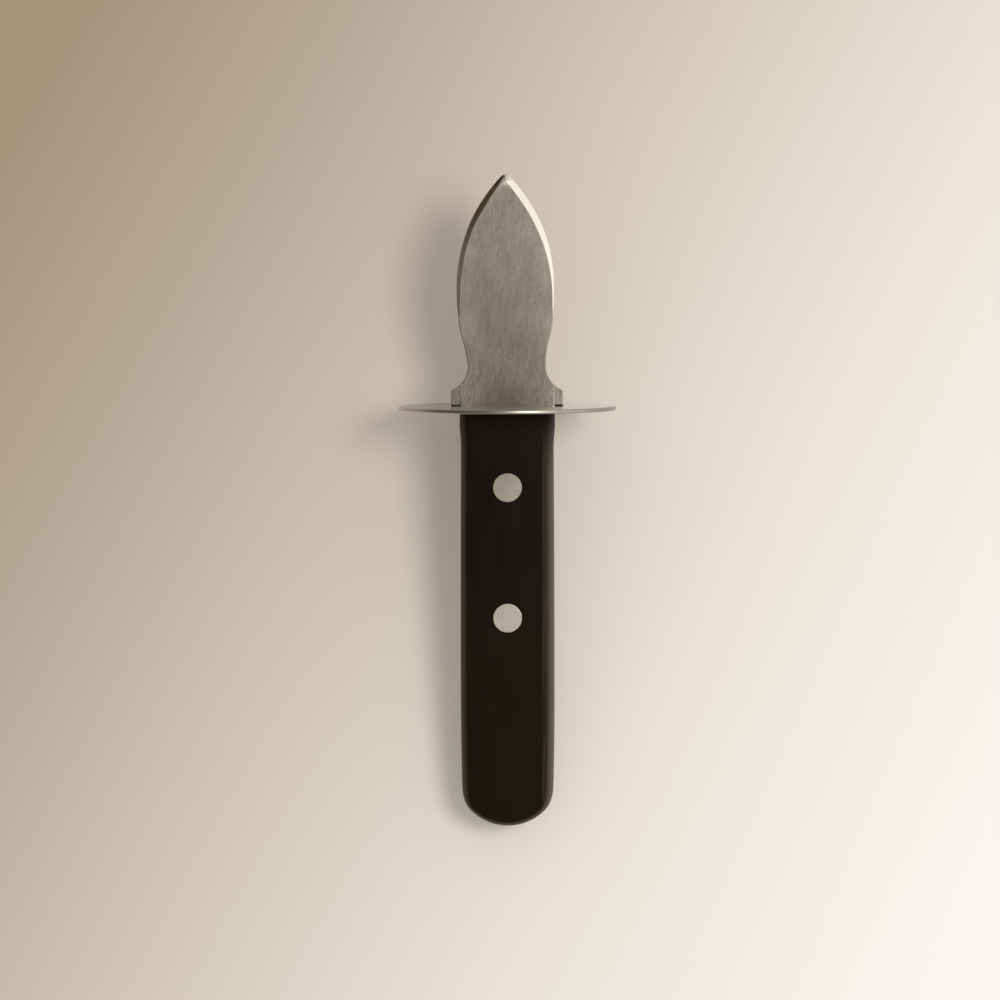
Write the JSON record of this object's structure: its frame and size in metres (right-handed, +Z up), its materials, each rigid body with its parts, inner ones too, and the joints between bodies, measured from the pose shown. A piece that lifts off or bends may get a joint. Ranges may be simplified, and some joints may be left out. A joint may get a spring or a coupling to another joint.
{
  "type": "oyster knife",
  "caption": "Full-tang oyster knife: short leaf-shaped blade with ground edges, round steel hand guard, black two-scale handle held by cutler's rivets.",
  "frame": {"origin": "on the table, under the middle of the knife's bounding box, as the knife lies at rest", "axes": "+Z up from the table; +Y level, towards the blade's tip; +X across the blade. The knife lies on the guard's rim and the butt, so its own axis rises towards the tip by 11.07 degrees from +Y, in the plane X = 0"},
  "size_m": [0.0534, 0.158, 0.0524],
  "materials": {
    "blade_steel": "ground lengthwise, satin",
    "guard_steel": "polished sheet",
    "handle_plastic": "black moulded plastic, satin",
    "rivet_metal": "ground flush, fine scratches"
  },
  "bodies": {
    "root": {"blade": "blade_steel", "guard": "guard_steel", "upper_scale": "handle_plastic", "lower_scale": "handle_plastic", "front_rivet_tube": "rivet_metal", "front_rivet_pin": "rivet_metal", "rear_rivet_tube": "rivet_metal", "rear_rivet_pin": "rivet_metal"}
  },
  "joints": []
}
